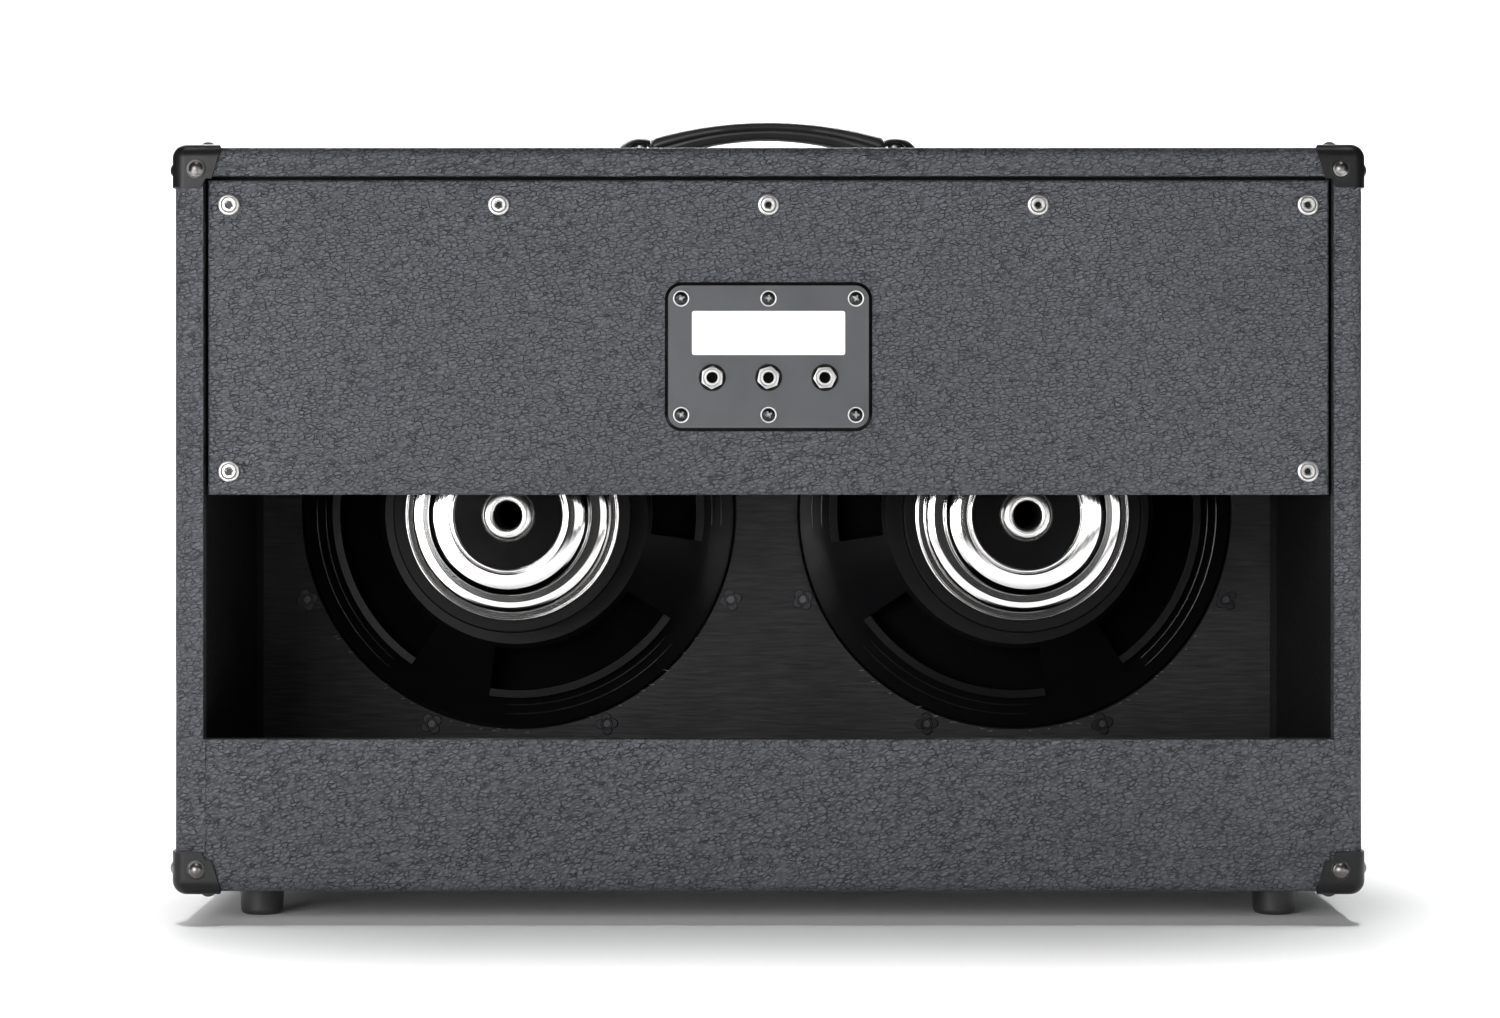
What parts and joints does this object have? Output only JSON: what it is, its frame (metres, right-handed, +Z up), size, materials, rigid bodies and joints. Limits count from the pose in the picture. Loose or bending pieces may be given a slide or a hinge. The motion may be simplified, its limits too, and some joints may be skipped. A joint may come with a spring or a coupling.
{
  "type": "guitar speaker cabinet",
  "caption": "Open-back guitar speaker cabinet in leather-grain vinyl, with cone drivers on a baffle, a rear jack plate, a strap handle, corner protectors and rubber feet.",
  "frame": {"origin": "on the floor under the middle of the cabinet, in the plane of the feet's soles", "axes": "+Z up, +X across the cabinet, -Y towards the grille, +Y towards the open back"},
  "size_m": [0.7002, 0.3082, 0.4814],
  "materials": {
    "black_ply": "black-painted plywood",
    "vinyl": "black leather-grain vinyl, semi-matte",
    "grille_cloth": "black woven grille cloth",
    "corner_plastic": "black moulded plastic",
    "black_plastic": "black moulded plastic",
    "plate_plastic": "black moulded plate, satin",
    "handle_grip": "black moulded grip, satin",
    "rubber": "black rubber",
    "nickel": "bright nickel plate",
    "steel": "zinc-plated steel",
    "black_steel": "blackened steel",
    "basket_paint": "dark grey painted steel",
    "gasket": "dark gasket board",
    "cone_paper": "dark grey paper pulp",
    "coil": "coil former",
    "spider_cloth": "treated cloth",
    "ferrite": "dark ferrite",
    "polished_cover": "polished pressed steel",
    "fibre": "fibre board with plated tags"
  },
  "bodies": {
    "cabinet": {"back_panel_cleats": "black_ply", "back_panel_cup_washers": "nickel", "back_panel_screws": "nickel", "baffle_board": "black_ply", "baffle_edge_beads": "black_ply", "basket_left": "basket_paint", "basket_right": "basket_paint", "bottom_panel": "black_ply", "cabinet_covering": "vinyl", "cone_edge_left": "cone_paper", "cone_edge_right": "cone_paper", "corner_protectors": "corner_plastic", "corner_screws": "nickel", "feet": "rubber", "foot_screws": "nickel", "front_gasket_left": "gasket", "front_gasket_right": "gasket", "grille_cloth": "grille_cloth", "grille_fixing_pads": "black_plastic", "grille_frame": "black_ply", "handle_caps": "black_plastic", "handle_screws": "nickel", "jack_nuts": "nickel", "jack_plate": "plate_plastic", "jack_plate_rings": "nickel", "jack_plate_screws": "black_steel", "jack_sockets": "black_plastic", "jack_washers": "black_steel", "left_side_panel": "black_ply", "lower_back_panel": "black_ply", "magnet_cover_left": "polished_cover", "magnet_cover_right": "polished_cover", "magnet_ring_left": "ferrite", "magnet_ring_right": "ferrite", "right_side_panel": "black_ply", "speaker_bolts": "black_steel", "spider_left": "spider_cloth", "spider_right": "spider_cloth", "tee_nuts": "nickel", "terminal_strip_left": "fibre", "terminal_strip_right": "fibre", "top_panel": "black_ply", "top_plate_left": "steel", "top_plate_right": "steel", "upper_back_covering": "vinyl", "upper_back_panel": "black_ply", "yoke_left": "steel", "yoke_right": "steel"},
    "cone_left": {"cone_left": "cone_paper", "dust_cap_left": "cone_paper", "voice_coil_left": "coil"},
    "cone_right": {"cone_right": "cone_paper", "dust_cap_right": "cone_paper", "voice_coil_right": "coil"},
    "handle": {"handle_strap": "handle_grip", "handle_core": "steel"}
  },
  "joints": [
    {"name": "cone_left_travel", "type": "slide", "parent": "cabinet", "child": "cone_left", "axis": [0, 1, 0], "range_m": [-0.003, 0.003], "stiffness_N_per_m": 3000, "deforming": ["cone_edge_left", "spider_left"]},
    {"name": "cone_right_travel", "type": "slide", "parent": "cabinet", "child": "cone_right", "axis": [0, 1, 0], "range_m": [-0.003, 0.003], "stiffness_N_per_m": 3000, "deforming": ["cone_edge_right", "spider_right"]},
    {"name": "strap_lift", "type": "slide", "parent": "cabinet", "child": "handle", "axis": [0, 0, 1], "range_m": [0, 0.0025]}
  ]
}
